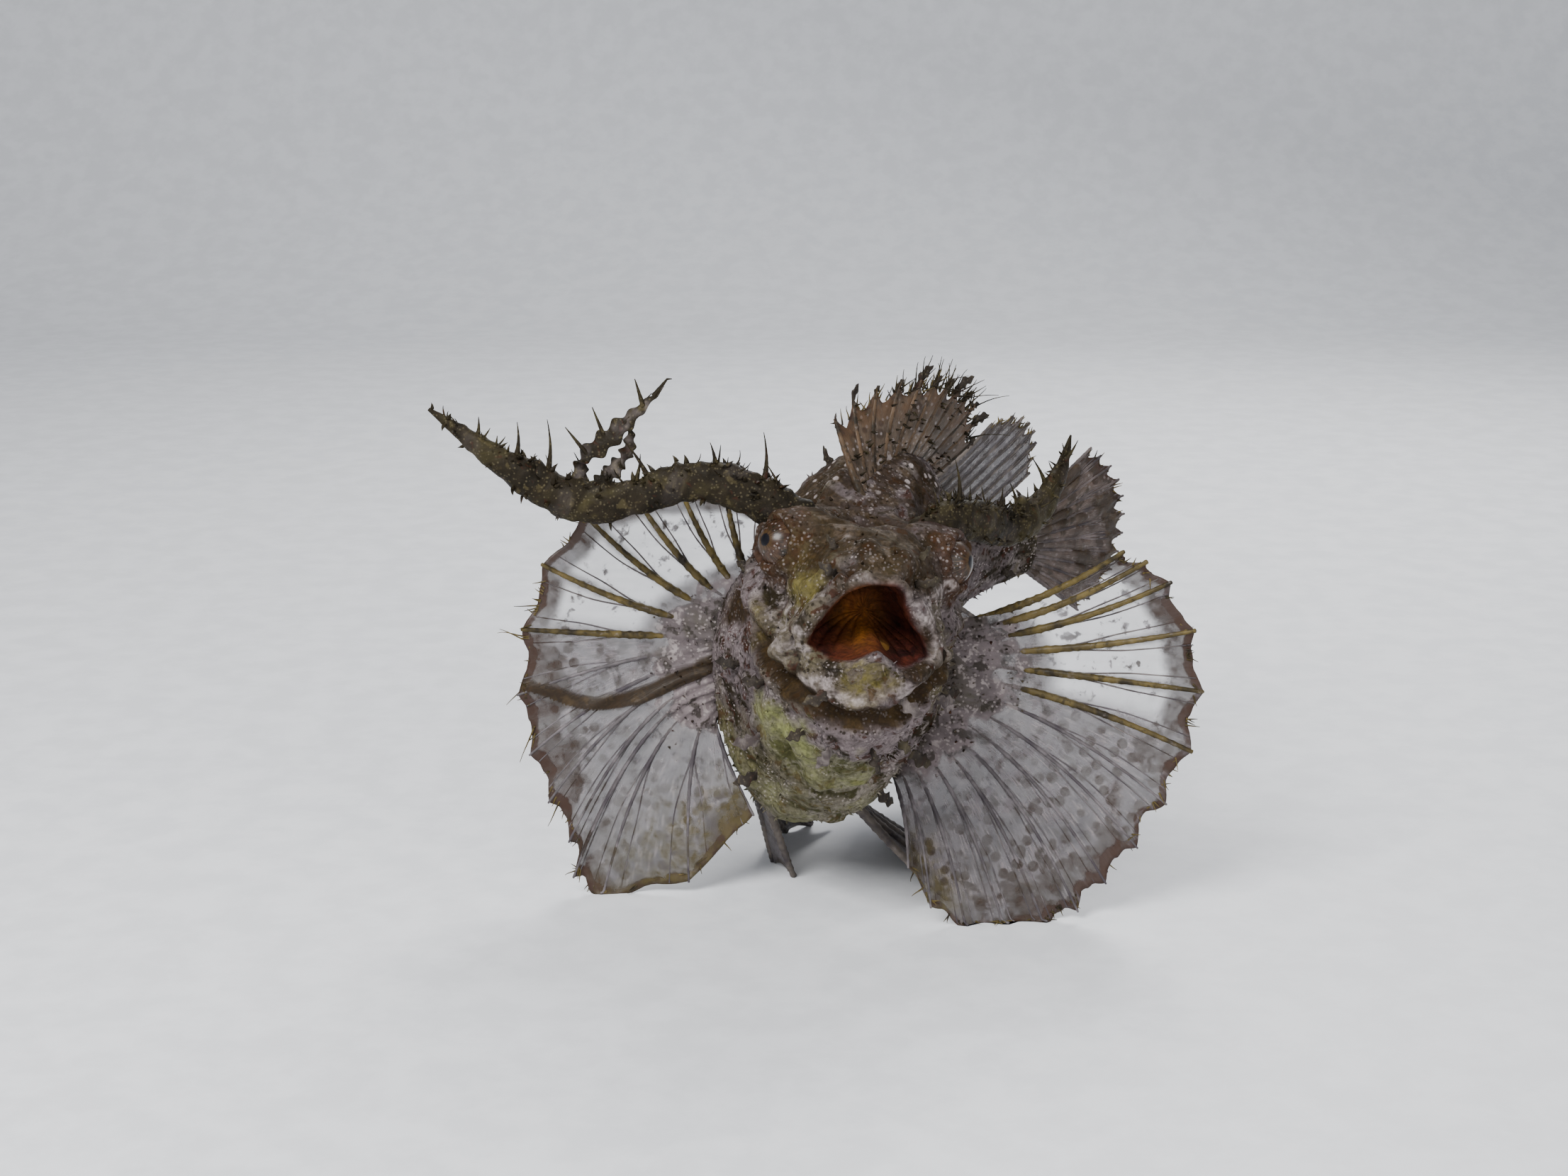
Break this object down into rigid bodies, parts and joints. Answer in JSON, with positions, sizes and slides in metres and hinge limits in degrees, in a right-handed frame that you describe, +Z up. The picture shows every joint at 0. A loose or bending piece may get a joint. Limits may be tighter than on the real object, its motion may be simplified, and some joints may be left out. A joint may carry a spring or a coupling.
{
  "type": "rhinopias scorpionfish",
  "caption": "Life-size still model of a weedy rhinopias scorpionfish that stands on its fins, mouth open, fan-shaped pectoral fins spread and long brow tentacles raised.",
  "frame": {"origin": "on the floor, under the middle of the fish's box", "axes": "+Z up, head towards -Y, the fish's left and its tail fin towards +X"},
  "size_m": [0.1364, 0.1208, 0.0985],
  "materials": {
    "skin": "soft skin, mottled mauve-grey, olive and dark brown",
    "tentacle": "soft skin, dark olive-brown",
    "membrane": "thin fin membrane on darker rays, partly see-through",
    "eye": "glossy"
  },
  "bodies": {
    "root": {"head": "skin", "jaw": "skin", "trunk": "skin", "tail_stalk": "skin", "eye_left": "eye", "eye_right": "eye", "brow_left_root": "tentacle", "brow_left_middle": "tentacle", "brow_left_tip": "tentacle", "brow_right_root": "tentacle", "brow_right_middle": "tentacle", "brow_right_tip": "tentacle", "pectoral_left": "membrane", "pectoral_right": "membrane", "pelvic_left": "membrane", "pelvic_right": "membrane", "dorsal_spiny": "membrane", "dorsal_soft": "membrane", "anal_fin": "membrane", "caudal_fin": "membrane"}
  },
  "joints": []
}
